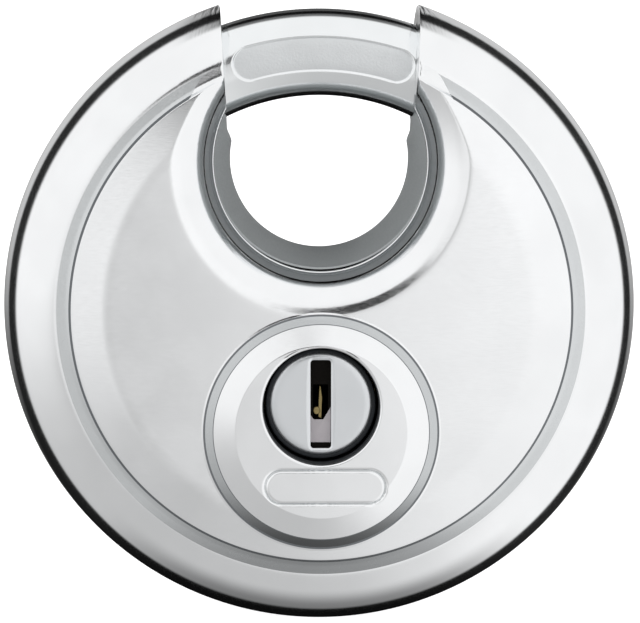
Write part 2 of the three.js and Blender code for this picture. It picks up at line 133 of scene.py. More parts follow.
BOSS_Z = -0.01502
BOSS_FLAT_R = 0.0108
BOSS_TOP_R = 0.0135
BOSS_LINE_R = 0.0145
BOSS_FOOT_R = 0.0150
BOSS_CONE_FALL = 0.0005  # from its flat to its top edge
HOLE_R = 0.0073
LABEL_X = 0.0005
LABEL_Z = -0.02187
LABEL_HALF_LENGTH = 0.0075
LABEL_HALF_HEIGHT = 0.0021
LINE_HALF = 0.00015
LINE_DEPTH = 0.00024
CAP_R = 0.0070
CAP_FLAT_R = 0.0055
CAP_EDGE = 0.0008  # how deep its rounded edge goes
SLOT_HALF = 0.0013
SLOT_HALF_HEIGHT = 0.00556
SLOT_CORNER = 0.0004
SLOT_BEVEL = 0.00028

# ---- What shows in the keyway, as x and z from the plug's axis ----

WARD_OUTLINE = [
    (-0.00028, -0.0018), (0.00012, -0.0020), (0.00022, 0.0006), (0.00002, 0.0021),
    (-0.00012, 0.0021), (-0.00024, 0.0004),
]
PIN_HEAD_X = -0.00048
PIN_HEAD_Z = -0.0010
PIN_HEAD_HALF_WIDTH = 0.00044
PIN_HEAD_HALF_HEIGHT = 0.00052
SHUTTER_OUTLINE = [
    (-0.00128, -0.0015), (-0.00085, -0.0021), (0.00035, -0.0021), (0.00128, -0.0005),
    (0.00128, -0.0050), (-0.00128, -0.0050),
]
SHUTTER_GAP = 0.00005

# ---- Washer behind the key hole ----

WASHER_BACK = 0.0100
WASHER_BACK_WIDER = 0.0004  # than its hole, behind the flange
FLANGE_R = CAP_R + 0.00002
FLANGE_BACK = 0.0088
FLANGE_FRONT = 0.0093

# ---- Throat liner ----

LINER_PROFILE = [  # (radius, depth), from its waist forwards
    (0.0113, 0.0), (0.0113, 0.0006), (0.0117, 0.0022), (0.0122, 0.0042), (0.0128, 0.0062),
    (0.0133, 0.0077), (0.01335, LINER_DEPTH), (LINER_OUT_R, LINER_DEPTH),
]
LINER_TOP_R = 0.0274  # from the disc's axis, where its ends stop below the shackle
LINER_WIDENS_Z = 0.0207  # above this height it draws back to the notch's walls
LINER_WIDENS_OVER = 0.0015

# ---- Shackle ----

SHACKLE_R = 0.032
SHACKLE_HALF = 0.00548
SHACKLE_ROOM = 0.00585
SHACKLE_SQUARENESS = 2.6
TOE_ANGLE = math.radians(-33)
HEEL_ANGLE = math.radians(160)
PANEL_ANGLE = math.radians(0.8)
PANEL_HALF_ANGLE = math.radians(20.6)
PANEL_IN_R = 0.0298
PANEL_OUT_R = 0.0340
PANEL_DEPTH = 0.00025
PANEL_EDGE = 0.0002  # width of the slope round it
PANEL_R = (PANEL_IN_R + PANEL_OUT_R) / 2
PANEL_HALF_HEIGHT = (PANEL_OUT_R - PANEL_IN_R) / 2
BAR_END_SCALE = 0.93

# ---- Camera ----

CAMERA_DISTANCE = 0.594
CAMERA_LENS_MM = 262.3
CAMERA_LEFT = 1.2  # degrees from straight ahead
CAMERA_ABOVE = 5.0
AIM_X = 0.00012
AIM_BELOW_AXIS = 0.00106

FRONT = -1
REAR = 1


# ---- Curves ----

def softened(corners, softness):
    """The depth at any radius, along straight stretches whose bends are rounded."""
    radii, depths = zip(*corners)
    step = softness / 12
    grid = np.arange(radii[0] - 4 * softness, radii[-1] + 4 * softness, step)
    depth = np.interp(grid, radii, depths)
    kernel = np.hanning(15)
    kernel /= kernel.sum()
    for _ in range(2):
        depth = np.convolve(np.pad(depth, 7, mode="edge"), kernel, "valid")
    return lambda radius: np.interp(radius, grid, depth)


def soft_min(a, b, width):
    """The lesser of two depths, blended where they come within a width of each other."""
    nearness = np.maximum(width - np.abs(a - b), 0) / width
    return np.minimum(a, b) - nearness**2 * width / 4


ring_step = softened(
    [
        (0.0262, FACE_DEPTH),
        (0.0268, FACE_DEPTH - 0.00001),
        (0.0274, FACE_DEPTH - 0.00003),
        (RING_IN_R - 0.0003, FACE_DEPTH - 0.00022),
        (RING_IN_R, BAND_DEPTH + 0.00014),
        (RING_IN_R + 0.0004, BAND_DEPTH + 0.00005),
        (RING_OUT_R, BAND_DEPTH),
        (0.036, BAND_DEPTH),
    ],
    0.00012,
)

flare = softened(
    [
        (0.0130, 0.00875),
        (0.01402, 0.00875),
        (0.01418, 0.00825),
        (0.01435, 0.00825),
        (0.01510, 0.01090),
        (0.01560, 0.01170),
        (0.0161, 0.01228),
        (0.0166, FACE_DEPTH - 0.00056),
        (0.0174, FACE_DEPTH - 0.00027),
        (0.0179, FACE_DEPTH - 0.000165),
        (0.0181, FACE_DEPTH - 0.000133),
        (0.0184, FACE_DEPTH - 0.000094),
        (0.0189, FACE_DEPTH - 0.000039),
        (0.0192, FACE_DEPTH - 0.000013),
        (SHOULDER_R, FACE_DEPTH),
        (0.045, FACE_DEPTH),
    ],
    0.00016,
)

inside_of_flare = softened(
    [(0.0150, 0.0070), (0.0166, 0.0099), (SHOULDER_R, 0.0116), (0.045, 0.0200)], 0.0005
)


def from_throat(x, z):
    """Distance from the throat's axis, stretched across because the throat is a little narrow."""
    return np.hypot(x * THROAT_SQUEEZE, z - THROAT_Z)


def face_depth(x, z):
    """Depth of a shell's outside at x and z from the disc's axis."""
    radius = np.hypot(x, z)
    across = np.clip((radius - RING_OUT_R) / RIM_ACROSS, 0, 1)
    rim = RIM_FLAT + RIM_DEEP * np.sqrt(1 - across**2)
    plate = np.where(radius > RING_OUT_R, rim, ring_step(radius))
    return soft_min(plate, flare(from_throat(x, z)), 0.00004)


def inside_depth(x, z):
    """Depth of a shell's inside at x and z from the disc's axis."""
    radius = np.hypot(x, z)
    across = np.clip((radius - RING_OUT_R) / (RIM_ACROSS - WALL), 0, 1)
    rim = RIM_FLAT + (RIM_DEEP - WALL) * np.sqrt(1 - across**2)
    return np.minimum(np.minimum(rim, FACE_DEPTH - WALL), inside_of_flare(from_throat(x, z)))


def channel_depth(x, z):
    """Depth of the shackle's channel in each half, or of the seam's gap outside it."""
    past = np.abs(np.hypot(x, z) - SHACKLE_R)
    room = np.sqrt(np.maximum(SHACKLE_ROOM**2 - past**2, 0))
    return np.maximum(room, SEAM)


def edge_drop(past_edge):
    """How far a rounded edge has fallen, by the distance from where the face ends."""
    into_edge = np.clip(EDGE_ROUND - past_edge, 0, EDGE_ROUND)
    return EDGE_ROUND - np.sqrt(EDGE_ROUND**2 - into_edge**2)


def stadium_distance(along, across, half_length, half_height):
    """Distance outside (or, negative, inside) the outline of a round-ended slot."""
    past_end = np.maximum(np.abs(along) - (half_length - half_height), 0)
    return np.hypot(past_end, across) - half_height


# ---- Meshes ----

def mesh_object(name, points, faces, look, sharp_angle=40):
    """A smooth-shaded object, creased where its faces meet at more than the sharp angle."""
    mesh = bpy.data.meshes.new(name)
    mesh.from_pydata([tuple(p) for p in points], [], faces)
    shape = bmesh.new()
    shape.from_mesh(mesh)
    bmesh.ops.remove_doubles(shape, verts=shape.verts, dist=1e-7)
    bmesh.ops.recalc_face_normals(shape, faces=shape.faces)
    shape.to_mesh(mesh)
    shape.free()
    mesh.shade_smooth()
    mesh.set_sharp_from_angle(angle=math.radians(sharp_angle))
    obj = bpy.data.objects.new(name, mesh)
    bpy.context.scene.collection.objects.link(obj)
    obj.data.materials.append(look)
    return obj


def grid_faces(rows, columns, ring):
    """Quads between each row and the next. Every row is a closed loop, and a ring of rows
    closes too; otherwise its two ends are capped."""
    faces = []
    for row in range(rows if ring else rows - 1):
        here, there = row * columns, (row + 1) % rows * columns
        for i in range(columns):
            j = (i + 1) % columns
            faces.append((here + i, here + j, there + j, there + i))
    if not ring:
        faces.append(tuple(range(columns)))
        faces.append(tuple(range((rows - 1) * columns, rows * columns)))
    return faces


def place(x, z, depth, side):
    """Points in the frame's coordinates, for the front half or the rear half."""
    return np.stack([x, side * depth, z + AXIS_Z], axis=-1)


def loft(name, rows, look, ring=True, sharp_angle=40):
    """A solid skinned over rows of points, each row one closed loop round the section."""
    count, columns, _ = rows.shape
    return mesh_object(
        name, rows.reshape(-1, 3), grid_faces(count, columns, ring), look, sharp_angle
    )


def turned(name, profile, look, centre_z=0.0, sides=192, side=FRONT, sharp_angle=40):
    """A closed profile of (radius, depth) turned about an axis along Y."""
    radius, depth = np.array(profile).T
    turn = np.linspace(0, 2 * math.pi, sides, endpoint=False)[:, None]
    x = np.sin(turn) * radius
    z = np.cos(turn) * radius + centre_z
    return loft(name, place(x, z, np.broadcast_to(depth, x.shape), side), look, True, sharp_angle)


def round_edges(piece, width):
    modifier = piece.modifiers.new("edges", "BEVEL")
    modifier.width = width
    modifier.segments = 3
    modifier.limit_method = "ANGLE"
    return piece


# ---- Materials ----

class Graph:
    """Short ways to add the nodes of a material or world."""

    def __init__(self, tree):
        self.tree = tree
        tree.nodes.clear()

    def node(self, kind, inputs=None, **settings):
        node = self.tree.nodes.new(kind)
        for key, value in settings.items():
            setattr(node, key, value)
        for key, value in (inputs or {}).items():
            if isinstance(value, bpy.types.NodeSocket):
                self.tree.links.new(value, node.inputs[key])
            else:
                node.inputs[key].default_value = value
        return node

    def math(self, operation, *values, clamp=False):
        inputs = dict(enumerate(values))
        return self.node("ShaderNodeMath", inputs, operation=operation, use_clamp=clamp).outputs[0]

    def range(self, value, low, high, to_low=0.0, to_high=1.0):
        """value mapped smoothly from low..high to to_low..to_high."""
        inputs = {
            "Value": value,
            "From Min": low,
            "From Max": high,
            "To Min": to_low,
            "To Max": to_high,
        }
        return self.node("ShaderNodeMapRange", inputs, interpolation_type="SMOOTHSTEP").outputs[0]

    def noise(self, vector, scale, detail=3.0):
        inputs = {"Vector": vector, "Scale": scale, "Detail": detail}
        return self.node("ShaderNodeTexNoise", inputs).outputs["Fac"]

    def stretched(self, vector, scale):
        inputs = {"Vector": vector, "Scale": scale}
        return self.node("ShaderNodeMapping", inputs).outputs[0]


def metal(name, colour, roughness, spread=0.05, stretch=(1, 1, 1), grain=9000.0, bump=0.0,
          worn=0.06, metallic=1.0, low_shade=None):
    """A metal with grain drawn out along the axes that stretch makes small, and cloudy
    variation in its gloss and tone. Worn is how much lighter its edges are, or 0 for none.
    The last argument is (lowest height, unshaded height, tone at the lowest): painted shade,
    darker towards the bottom."""
    look = bpy.data.materials.new(name)
    look.use_nodes = True
    graph = Graph(look.node_tree)
    place_on = graph.node("ShaderNodeTexCoord").outputs["Object"]
    fine = graph.noise(graph.stretched(place_on, stretch), grain, 4.0)
    cloud = graph.noise(place_on, 140.0)
    tone = graph.range(cloud, 0.3, 0.7, 0.96, 1.0)
    if worn:
        edge = graph.node("ShaderNodeNewGeometry").outputs["Pointiness"]
        tone = graph.math("ADD", tone, graph.range(edge, 0.53, 0.60, 0.0, worn))
    # Painted shade: the tone darkens towards the bottom of the part.
    if low_shade:
        height = graph.node("ShaderNodeSeparateXYZ", {"Vector": place_on}).outputs["Z"]
        darkest_height, unshaded_height, darkest_tone = low_shade
        shade_factor = graph.range(height, darkest_height, unshaded_height, darkest_tone, 1.0)
        tone = graph.math("MULTIPLY", tone, shade_factor)
    grey = graph.node("ShaderNodeCombineColor", {"Red": tone, "Green": tone, "Blue": tone})
    tint = graph.node(
        "ShaderNodeMix",
        {0: 1.0, 6: (*colour, 1.0), 7: grey.outputs[0]},
        data_type="RGBA",
        blend_type="MULTIPLY",
    )
    uneven = graph.math("ADD", graph.range(fine, 0.25, 0.75, -spread, spread), roughness)
    rough = graph.math("ADD", uneven, graph.range(cloud, 0.35, 0.65, 0.0, spread / 2), clamp=True)
    inputs = {"Base Color": tint.outputs[2], "Metallic": metallic, "Roughness": rough}
    if bump:
        relief = {"Strength": bump, "Distance": 0.00004, "Height": fine}
        inputs["Normal"] = graph.node("ShaderNodeBump", relief).outputs[0]
    shader = graph.node("ShaderNodeBsdfPrincipled", inputs)
    graph.node("ShaderNodeOutputMaterial", {"Surface": shader.outputs[0]})
    return look


# Painted shade, darker towards the bottom of the ring and the boss: the heights are where it is
# darkest and where it ends.
RING_LOW_SHADE = (AXIS_Z - RING_OUT_R, AXIS_Z - 0.7 * RING_OUT_R, 0.5)
BOSS_LOW_SHADE = (AXIS_Z + BOSS_Z - BOSS_LINE_R, AXIS_Z + BOSS_Z - 0.3 * BOSS_LINE_R, 0.2)

polished = metal(
    "polished_steel", (0.93, 0.94, 0.95), 0.11, 0.03, stretch=(0.12, 1, 1), bump=0.03, worn=0
)
chromed = metal(
    "chromed_steel", (0.90, 0.92, 0.93), 0.13, 0.03, stretch=(1, 1, 0.2), bump=0.02, worn=0
)
cap_look = metal(
    "cap_chrome", (0.76, 0.78, 0.80), 0.21, 0.03, stretch=(1, 1, 0.1), bump=0.02, worn=0
)
liner_look = metal(
    "liner_steel", (0.37, 0.39, 0.395), 0.5, 0.08,
    stretch=(1, 0.1, 1), grain=5000.0, bump=0.35, metallic=0.3,
)
matt = metal(
    "matt_steel", (0.34, 0.36, 0.37), 0.45, 0.08, stretch=(0.2, 1, 1), grain=5000.0, bump=0.3
)
# Painted shade: near black, standing in for the shade inside the key hole, on its wall and on the
# washer behind it.
hole_painted_shade = metal(
    "hole_painted_shade", (0.035, 0.037, 0.04), 0.42, 0.08, grain=5000.0, bump=0.2
)
stamped = metal("stamped_steel", (0.78, 0.80, 0.81), 0.38, 0.1, grain=3500.0, bump=0.7)
spring_steel = metal("spring_steel", (0.50, 0.51, 0.53), 0.32, 0.06, grain=7000.0, bump=0.1)
shutter_look = metal(
    "shutter_steel", (0.50, 0.47, 0.49), 0.4, 0.08, grain=4000.0, bump=0.5, metallic=0.4
)
# Painted shade: a darker steel in the ring's crease and on the boss's edges, where shade falls.
crease_shade_look = metal(
    "crease_painted_shade", (0.17, 0.18, 0.19), 0.34, 0.06, grain=5000.0, bump=0.1, metallic=0.8
)
# Matt, and with a darker tone that is painted shade in the lip's groove.
lip_matt_shade_look = metal(
    "lip_matt_painted_shade", (0.42, 0.44, 0.45), 0.36, 0.06, grain=5000.0, bump=0.1, metallic=0.6
)
# Painted shade: the ring's band, the boss's band and the label's outline darker than the polished
# face, and darker still towards the bottom.
groove_shade_look = metal(
    "groove_painted_shade", (0.70, 0.72, 0.73), 0.22, 0.04,
    grain=5000.0, bump=0.02, worn=0, low_shade=RING_LOW_SHADE,
)
boss_groove_shade_look = metal(
    "boss_groove_painted_shade", (0.60, 0.62, 0.63), 0.22, 0.04,
    grain=5000.0, bump=0.02, worn=0, low_shade=BOSS_LOW_SHADE,
)
zinc = metal("cast_zinc", (0.36, 0.36, 0.37), 0.58, 0.08, grain=2500.0, bump=0.6)
brass = metal(
    "brass", (0.62, 0.45, 0.17), 0.30, 0.06, stretch=(1, 0.15, 1), grain=5000.0, bump=0.2
)
# Painted shade: the brass darkened as if in the keyway's shadow.
brass_painted_shade = metal(
    "brass_painted_shade", (0.33, 0.26, 0.12), 0.4, 0.08, stretch=(1, 0.15, 1), grain=5000.0, bump=0.3
)
# Painted shadow: near black, for the deep shadow on the plug's front in the keyway.
plug_painted_shadow = metal(
    "plug_painted_shadow", (0.010, 0.009, 0.008), 0.45, 0.08,
    stretch=(1, 0.15, 1), grain=5000.0, bump=0.2,
)

SLOT_LOOKS = {
    "polished_steel": polished,
    "chromed_steel": chromed,
    "matt_steel": matt,
    "cast_zinc": zinc,
    "brass": brass,
    "spring_steel": spring_steel,
}


def dress_cad_nodes():
    """Gives each CAD node the look of its slot. The plug is painted near black instead, as painted
    shadow deep in the keyway.
    """
    for part in frame["record"]["subparts"]:
        mesh = frame["nodes"][part["node"]].data
        mesh.materials.clear()
        mesh.materials.append(SLOT_LOOKS[part["material_slot"]])
    frame["nodes"]["plug"].data.materials[0] = plug_painted_shadow


# ---- Shells: rays from the throat's axis out to the rim ----

def crossing(direction, radius):
    """How far along each ray a circle round the disc's axis lies."""
    along = THROAT_Z * direction[:, 1]
    return np.sqrt(along**2 - THROAT_Z**2 + radius**2) - along


def opening_reach(direction):
    """How far along each ray the throat, or the notch above it, opens."""
    across, up = np.abs(direction[:, 0]), direction[:, 1]
    foot = NOTCH_HALF + NOTCH_WIDENING * (THROAT_Z - NOTCH_FOOT_Z)
    wall = foot / np.maximum(across - NOTCH_WIDENING * up, 1e-4)
    lip = LIP_R / np.hypot(across * THROAT_SQUEEZE, up)
    return np.maximum(lip, np.where(up > 0, wall, 0))


def outside_reach(direction, opening, rim):
    """How far along each ray the corners of a shell's outside lie, nearest first."""
    reach = [opening + 0.001 * offset for offset in NEAR_OPENING_MM]
    flat_start, flat_end = opening + FLAT_START, crossing(direction, FLAT_END_R)
    reach += [flat_start + (flat_end - flat_start) * t for t in (0.2, 0.4, 0.6, 0.8, 1.0)]
    ring = FALL_RADII + [line + side for line in RING_LINES for side in (-0.00001, 0.00001)]
    ring += list(np.arange(RING_IN_R - 0.0004, RING_IN_R + 0.00014, 0.00004))
    ring += list(np.arange(RING_IN_R + 0.0002, RING_OUT_R + 0.0003, 0.00015))
    reach += [crossing(direction, radius) for radius in ring]
    for turn in np.radians(RIM_DEGREES):
        reach.append(crossing(direction, RING_OUT_R + RIM_ACROSS * math.sin(turn)))
    reach.append(rim)
    reach = np.sort(np.stack(reach, axis=1), axis=1)
    # Corners that would fall outside the ray are spaced minutely at its ends instead.
    apart = 2e-7 * np.arange(reach.shape[1])
    reach = np.minimum(reach, rim[:, None] - apart[::-1])
    return np.maximum(reach, opening[:, None] + apart)


def shell_section(direction, rim):
    """Each ray's closed section through a shell, as (x, z, depth) arrays."""

    def column(reach_at, depth_at):
        x, z = reach_at * direction[:, 0], reach_at * direction[:, 1] + THROAT_Z
        return np.stack([x, z, np.broadcast_to(depth_at(x, z), x.shape)], axis=-1)[:, None]

    def seam_depth(x, z):
        return SEAM

    opening = opening_reach(direction)
    reach = outside_reach(direction, opening, rim)
    x, z = reach * direction[:, :1], reach * direction[:, 1:] + THROAT_Z
    depth = face_depth(x, z) - edge_drop(reach - opening[:, None])
    outside = np.stack([x, z, depth], axis=-1)

    edge = outside[:, 0]
    bottom = column(opening, channel_depth)[:, 0]
    wall = [bottom + (edge - bottom) * t for t in (0, 0.2, 0.4, 0.6, 0.8, 0.93)]
    seam = np.maximum(crossing(direction, SEAM_R), opening + 2e-5)
    back = np.minimum(opening + WALL, seam - 1e-5)
    inner_end = np.maximum(np.minimum(crossing(direction, DISC_R - WALL), seam), back)
    inner = []
    for t in (0.97, 0.92, 0.85, 0.75, 0.6, 0.3, 0.15, 0.07, 0):
        inner.append(column(back + (inner_end - back) * t, inside_depth))
    return np.concatenate(
        [
            np.stack(wall, axis=1),
            outside,
            column(seam, seam_depth),
            column(inner_end, seam_depth),
            *inner,
            column(back, channel_depth),
        ],
        axis=1,
    )


def shell(name, side):
    """Half of the body, with its own looks on the lip and on the ring's crease and groove: a matt
    lip darkened by painted shade, and painted shade in the crease and the groove.
    """
    rim_angle = np.linspace(CORNER_ANGLE, 2 * math.pi - CORNER_ANGLE, SHELL_RAYS)
    across, up = DISC_R * np.sin(rim_angle), DISC_R * np.cos(rim_angle) - THROAT_Z
    rim = np.hypot(across, up)
    direction = np.stack([across / rim, up / rim], axis=1)
    section = shell_section(direction, rim)
    rows = place(section[..., 0], section[..., 1], section[..., 2], side)
    skin = loft(name, rows, polished, ring=False, sharp_angle=SHELL_SHARP)
    for look in (lip_matt_shade_look, crease_shade_look, groove_shade_look):
        skin.data.materials.append(look)
    lip, crease, groove = 1, 2, 3
    for face in skin.data.polygons:
        x, z = face.center.x, face.center.z - AXIS_Z
        from_axis, radius = from_throat(x, z), math.hypot(x, z)
        on_face = abs(face.center.y) > BAND_DEPTH - 0.0002
        on_ring = on_face and from_axis > RING_FADES
        if LIP_R + 0.0002 < from_axis < LIP_MATT_R:
            face.material_index = lip
        elif on_ring and RING_LINES[0] < radius < RING_LINES[1]:
            face.material_index = crease
        elif on_ring and RING_LINES[1] < radius < RING_LINES[2]:
            face.material_index = groove
    return skin


def cut_round_hole(piece, centre_z, radius):
    """Takes a round bar along Y out of a piece."""
    profile = [(radius, 0.004), (radius, 0.02), (0, 0.02), (0, 0.004)]
    bar = turned("bar", profile, hole_painted_shade, centre_z, sides=96)
    modifier = piece.modifiers.new("hole", "BOOLEAN")
    modifier.operation = "DIFFERENCE"
    modifier.solver = "EXACT"
    modifier.object = bar
    bpy.context.view_layer.update()
    shown = piece.evaluated_get(bpy.context.evaluated_depsgraph_get())
    cut_mesh = bpy.data.meshes.new_from_object(shown)
    piece.modifiers.remove(modifier)
    cut_mesh.shade_smooth()
    cut_mesh.set_sharp_from_angle(angle=math.radians(SHELL_SHARP))
    piece.data = cut_mesh
    bpy.data.objects.remove(bar)


def build_shells():
    front = shell("front_shell_skin", FRONT)
    cut_round_hole(front, BOSS_Z, BOSS_FOOT_R - 0.0005)
    ride_for(front, "body", "polished_steel", "front_shell")
    ride_for(build_boss(), "body", "polished_steel")
    ride_for(shell("rear_shell_skin", REAR), "body", "polished_steel", "rear_shell")


def ride_for(piece, body, slot, *nodes):
    """Puts a piece on a body, in place of any CAD nodes it stands for. The slot is not used."""
    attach(piece, body)
    if nodes:
        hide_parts(*nodes)


# ---- Boss ----

def label_distance(x, z):
    """Distance from the label panel's outline, negative inside it."""
    return stadium_distance(x - LABEL_X, z - LABEL_Z, LABEL_HALF_LENGTH, LABEL_HALF_HEIGHT)


boss_rise = softened(
    [
        (0.006, BOSS_RISE),
        (BOSS_FLAT_R, BOSS_RISE),
        (BOSS_TOP_R, BOSS_RISE - BOSS_CONE_FALL),
        (BOSS_LINE_R, 0.0001),
        (BOSS_LINE_R + 0.00025, 0.00002),
        (BOSS_FOOT_R, 0.0),
        (BOSS_FOOT_R + 0.0004, -0.00008),
        (0.017, -0.0004),
    ],
    0.00014,
)


def boss_radii(start, end):
    """The radii of each ray's corners, closer together at the hole and at the boss's edge."""
    near_hole = start + np.array([0, 0.04, 0.1, 0.2, 0.3]) * 0.001
    middle_start = start + 0.0004
    middle = middle_start + (BOSS_FLAT_R - 0.0004 - middle_start) * np.linspace(0, 1, 66)
    outer = np.concatenate(
        [
            np.arange(BOSS_FLAT_R - 0.0003, BOSS_FLAT_R + 0.0003, 0.00005),
            np.arange(BOSS_FLAT_R + 0.0004, BOSS_TOP_R - 0.0002, 0.0001),
            np.arange(BOSS_TOP_R - 0.0002, BOSS_FOOT_R, 0.00005),
            np.linspace(BOSS_FOOT_R + 0.00005, end, 6),
        ]
    )
    outer = np.broadcast_to(outer, (len(start), len(outer)))
    return np.concatenate([near_hole, middle, outer], axis=1)


def boss_look(x, z):
    """Which of the boss's looks is at x and z: plain, black, crease, groove or outline. All but
    plain are painted shade: black on the hole's wall, darker steel on the rest.
    """
    plain, black, crease, groove, outline = range(5)
    radius = math.hypot(x, z - BOSS_Z)
    on_top_edge = abs(radius - BOSS_TOP_R) < 0.00007
    on_foot_line = abs(radius - (BOSS_LINE_R + 0.00014)) < 0.00013
    if math.hypot(x, z - PLUG_Z) < HOLE_R + 0.00004:
        return black
    if on_top_edge or on_foot_line:
        return crease
    if BOSS_TOP_R < radius < BOSS_LINE_R:
        return groove
    if radius < BOSS_TOP_R and abs(label_distance(x, z)) < LINE_HALF * 0.7:
        return outline
    return plain


def build_boss():
    """The raised disc round the key hole, with the outline of its label panel."""
    # Rays are closer together towards the bottom, where the label's outline is.
    even = np.linspace(0, 2 * math.pi, 640, endpoint=False)[:, None]
    turn = even + 0.5 * np.sin(even)
    # The hole isn't on the boss's own axis, so each ray starts at the hole's edge.
    offset = PLUG_Z - BOSS_Z
    start = offset * np.cos(turn) + np.sqrt(HOLE_R**2 - (offset * np.sin(turn)) ** 2)
    end = BOSS_FOOT_R + 0.0004
    radius = boss_radii(start, end)
    x, z = radius * np.sin(turn), radius * np.cos(turn) + BOSS_Z
    outline = LINE_DEPTH * np.exp(-((label_distance(x, z) / LINE_HALF) ** 2))
    depth = face_depth(x, z) + boss_rise(radius) - outline - edge_drop(radius - start)
    section = [np.stack([x, z, depth], axis=-1)]
    for reach in (end - 0.0008, start + 0.0005, start):
        x, z = reach * np.sin(turn), reach * np.cos(turn) + BOSS_Z
        section.append(np.stack([x, z, np.full_like(x, FACE_DEPTH - WALL)], axis=-1))
    section = np.concatenate(section, axis=1)
    rows = place(section[..., 0], section[..., 1], section[..., 2], FRONT)
    boss = loft("boss", rows, polished, sharp_angle=SHELL_SHARP)
    # Painted shade: near black on the hole's wall, and darker steel on the boss's edges, its band
    # and the label's outline.
    for look in (hole_painted_shade, crease_shade_look, boss_groove_shade_look, groove_shade_look):
        boss.data.materials.append(look)
    for face in boss.data.polygons:
        face.material_index = boss_look(face.center.x, face.center.z - AXIS_Z)
    return boss


# ---- Weld and throat liner ----

def build_rim_weld():
    """The weld bead between the shells' edges, with the ripple that welding leaves."""
    turn = np.linspace(CORNER_ANGLE, 2 * math.pi - CORNER_ANGLE, 900)[:, None]
    round_bead = np.linspace(0, 2 * math.pi, 12, endpoint=False)
    ripple = 0.00003 * np.sin(turn * 150)
    radius = DISC_R - 0.00042 + ripple + 0.00036 * np.cos(round_bead)
    depth = np.broadcast_to(0.0005 * np.sin(round_bead), radius.shape)
    rows = place(radius * np.sin(turn), radius * np.cos(turn), depth, FRONT)
    weld = loft("weld_bead", rows, polished, ring=False, sharp_angle=80)
    ride_for(weld, "body", "polished_steel", "rim_weld")


def build_liner():
    """The matt ring in the throat, narrow at its waist, that ends under the shackle."""
    rear_half = [(radius, -depth) for radius, depth in LINER_PROFILE[:0:-1]]
    radius, depth = np.array(rear_half + LINER_PROFILE).T
    shackle_edge = SHACKLE_R - np.sqrt(np.maximum(SHACKLE_ROOM**2 - depth**2, 0))
    top_r = np.minimum(shackle_edge, LINER_TOP_R)
    cos_end = (top_r**2 - LINER_OUT_R**2 - THROAT_Z**2) / (2 * LINER_OUT_R * THROAT_Z)
    end = np.arccos(np.clip(cos_end, -1, 1))
    t = np.linspace(0, 1, 260)[:, None]
    turn = end + (2 * math.pi - 2 * end) * t
    x, height = radius * np.sin(turn), radius * np.cos(turn) + THROAT_Z
    share = np.clip((height - LINER_WIDENS_Z) / LINER_WIDENS_OVER, 0, 1)
    x = x + np.sign(x) * np.maximum(share * (NOTCH_HALF - np.abs(x)), 0)
    rows = place(x, height, np.broadcast_to(depth, x.shape), FRONT)
    liner = loft("liner_ring", rows, liner_look, ring=False)
    ride_for(liner, "body", "matt_steel", "throat_liner")


# ---- Shackle ----

def panel_distance(angle, radius):
    """Distance from the outline of the shackle's panel, negative inside it."""
    along = (angle - PANEL_ANGLE) * PANEL_R
    return stadium_distance(
        along, radius - PANEL_R, PANEL_HALF_ANGLE * PANEL_R, PANEL_HALF_HEIGHT
    )


def shackle_angles():
    """Where the bar's rows are, closer together along its panel."""
    past_panel = PANEL_HALF_ANGLE + 0.06
    along_panel = np.linspace(PANEL_ANGLE - past_panel, PANEL_ANGLE + past_panel, 240)
    before = np.linspace(TOE_ANGLE, along_panel[0], 12, endpoint=False)
    after = np.linspace(along_panel[-1], HEEL_ANGLE, 90)[1:]
    return np.concatenate([before, along_panel, after])


def bar_section():
    """The bar's section as (depth, radial) arrays, squared off and finer at its front."""
    front = np.linspace(math.radians(-35), math.radians(35), 72, endpoint=False)
    rest = np.linspace(math.radians(35), math.radians(325), 64)[:-1]
    around = np.concatenate([front, rest])
    c, s = np.cos(around), np.sin(around)
    spread = np.abs(c) ** SHACKLE_SQUARENESS + np.abs(s) ** SHACKLE_SQUARENESS
    reach = SHACKLE_HALF / spread ** (1 / SHACKLE_SQUARENESS)
    return reach * c, reach * s


def build_shackle():
    """The curved bar, squared off a little, with a sunk panel on its front."""
    angle = shackle_angles()[:, None]
    depth, radial = bar_section()
    scale = np.ones_like(angle)
    scale[0] = scale[-1] = BAR_END_SCALE
    radius = SHACKLE_R + radial * scale
    sunk = PANEL_DEPTH * np.clip(0.5 - panel_distance(angle, radius) / PANEL_EDGE, 0, 1)
    on_front = (depth > 0) & (np.abs(radial) < PANEL_HALF_HEIGHT * 1.3)
    depth = depth * scale - np.where(on_front, sunk, 0)
    rows = place(radius * np.sin(angle), radius * np.cos(angle), depth, FRONT)
    bar = loft("shackle_bar", rows, chromed, ring=False, sharp_angle=60)
    bar.data.materials.append(stamped)
    for face in bar.data.polygons:
        x, z = face.center.x, face.center.z - AXIS_Z
        in_panel = panel_distance(math.atan2(x, z), math.hypot(x, z)) < -0.0001
        if in_panel and face.center.y < 0:
            face.material_index = 1
    ride_for(bar, "shackle", "chromed_steel", "shackle")


# ---- Cap, plug and hole ----

def rounded_slot(half_width, half_height, corner, count):
    """Points round a rounded rectangle from its top, evenly spaced in each quarter."""
    top, side = half_width - corner, half_height - corner
    bend = corner * math.pi / 2
    length = np.linspace(0, top + bend + side, count, endpoint=False)
    turn = np.clip((length - top) / corner, 0, math.pi / 2)
    x = np.minimum(length, top) + corner * np.sin(turn)
    z = side + corner * np.cos(turn) - np.maximum(length - top - bend, 0)
    quarter = np.stack([x, z], axis=1)
    lower = np.stack([quarter[1:, 0], -quarter[1:, 1]], axis=1)[::-1]
    right = np.concatenate([quarter, [[half_width, 0]], lower, [[0, -half_height]]])
    left = right[1:-1][::-1] * [-1, 1]
    return np.concatenate([right, left])


